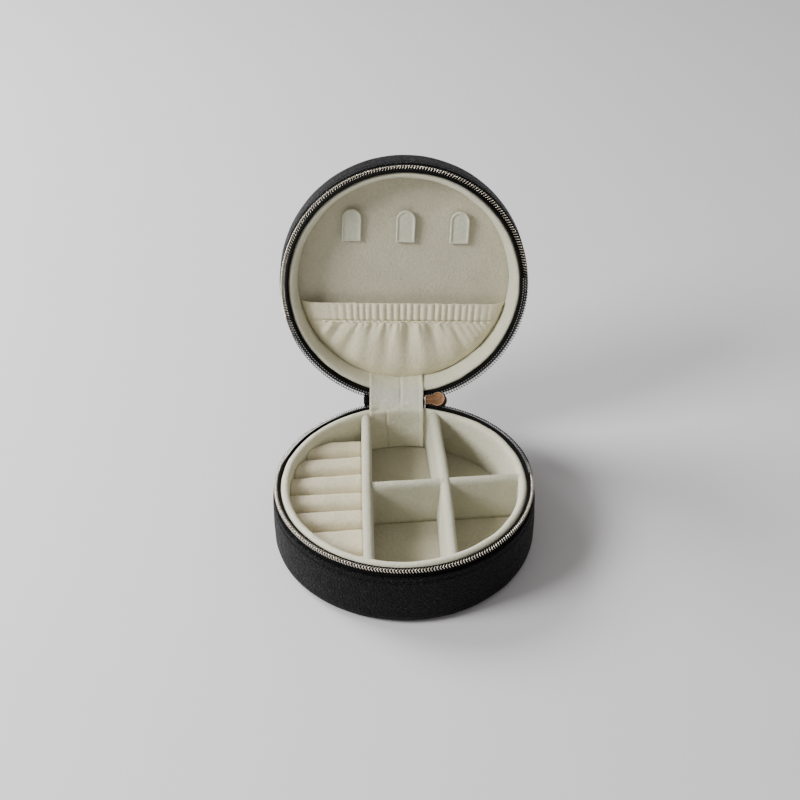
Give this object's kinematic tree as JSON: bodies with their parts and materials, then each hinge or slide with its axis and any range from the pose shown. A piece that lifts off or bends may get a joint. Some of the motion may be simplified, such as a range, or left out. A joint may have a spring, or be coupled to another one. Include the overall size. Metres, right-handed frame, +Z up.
{
  "type": "zipped travel jewellery case",
  "caption": "Round padded travel jewellery case standing open: a zip-round leather shell, a lined tray with dividers and ring rolls, and a lid with necklace tabs and a stretch pocket.",
  "frame": {"origin": "centre of the base's underside, where it rests", "axes": "+Z up, +Y towards the hinge at the back, +X to the right seen from the front"},
  "size_m": [0.1095, 0.1496, 0.1302],
  "materials": {
    "leather": "black pebble-grained leather, satin",
    "velvet": "cream velvet with a faint grey-green cast",
    "floor_velvet": "cream velvet, flat and shaded",
    "roll_velvet": "warm cream velvet",
    "tab_velvet": "cream velvet with a raised edge",
    "board": "grey pressed board, hidden",
    "padding": "soft foam sheet, hidden",
    "tape": "black woven tape",
    "coil": "pale gold metallised coil",
    "slider_metal": "polished rose gold"
  },
  "bodies": {
    "base": {"base_side_leather": "leather", "base_underside_leather": "leather", "base_bottom_board": "board", "base_wall_board": "board", "base_foam_pad": "padding", "base_lining_collar": "velvet", "base_floor_panel": "floor_velvet", "divider_left": "velvet", "divider_right": "velvet", "divider_cross_left": "velvet", "divider_cross_right": "velvet", "ring_roll_1": "roll_velvet", "ring_roll_2": "roll_velvet", "ring_roll_3": "roll_velvet", "ring_roll_4": "roll_velvet", "ring_roll_5": "roll_velvet", "ring_roll_6": "roll_velvet", "ring_roll_7": "roll_velvet", "base_zip_tape": "tape", "base_zip_coil": "coil", "hinge_leather_base": "leather", "hinge_strap_base": "velvet"},
    "lid": {"lid_zip_tape": "tape", "lid_zip_coil": "coil", "lid_side_leather": "leather", "lid_top_leather": "leather", "lid_top_board": "board", "lid_wall_board": "board", "lid_foam_pad": "padding", "lid_padded_ring": "velvet", "lid_panel": "velvet", "pocket_cloth": "velvet", "pocket_hem": "velvet", "hinge_leather_lid": "leather", "hinge_strap_lid": "velvet"},
    "zip_end": {"zip_joined_end": "tape"},
    "slider": {"slider_body": "slider_metal"},
    "pull": {"pull_ring": "slider_metal", "pull_tab": "slider_metal"},
    "tab_left": {"tab_left": "tab_velvet"},
    "tab_middle": {"tab_middle": "tab_velvet"},
    "tab_right": {"tab_right": "tab_velvet"}
  },
  "joints": [
    {"name": "lid_hinge", "type": "hinge", "parent": "base", "child": "lid", "pos_m": [0, 0.0519, 0.0284], "axis": [0.9992, -0.0305, -0.024], "range_deg": [0, 103.64]},
    {"name": "zip_end_swing", "type": "hinge", "parent": "base", "child": "zip_end", "pos_m": [0, 0.0519, 0.0284], "axis": [0.9992, -0.0305, -0.024], "range_deg": [0, 51.82]},
    {"name": "zip_travel", "type": "hinge", "parent": "zip_end", "child": "slider", "pos_m": [0.00159, 0.0198, 0.06915], "axis": [0.0148, 0.7858, 0.6183], "range_deg": [-308, 0]},
    {"name": "pull_swing", "type": "hinge", "parent": "slider", "child": "pull", "pos_m": [0.01727, 0.05312, 0.02644], "axis": [0.9604, -0.1832, 0.2098], "range_deg": [-5, 78]},
    {"name": "tab_left_bend", "type": "hinge", "parent": "lid", "child": "tab_left", "pos_m": [-0.01872, 0.07873, 0.0938], "axis": [0.9986, -0.0123, -0.0509], "range_deg": [0, 45], "stiffness_Nm_per_rad": 0.0002},
    {"name": "tab_middle_bend", "type": "hinge", "parent": "lid", "child": "tab_middle", "pos_m": [0.00405, 0.07845, 0.09264], "axis": [0.9986, -0.0123, -0.0509], "range_deg": [0, 45], "stiffness_Nm_per_rad": 0.0002},
    {"name": "tab_right_bend", "type": "hinge", "parent": "lid", "child": "tab_right", "pos_m": [0.02682, 0.07817, 0.09148], "axis": [0.9986, -0.0123, -0.0509], "range_deg": [0, 45], "stiffness_Nm_per_rad": 0.0002}
  ],
  "couplings": [
    {"joint": "zip_end_swing", "follows": "lid_hinge", "ratio": 0.5}
  ]
}
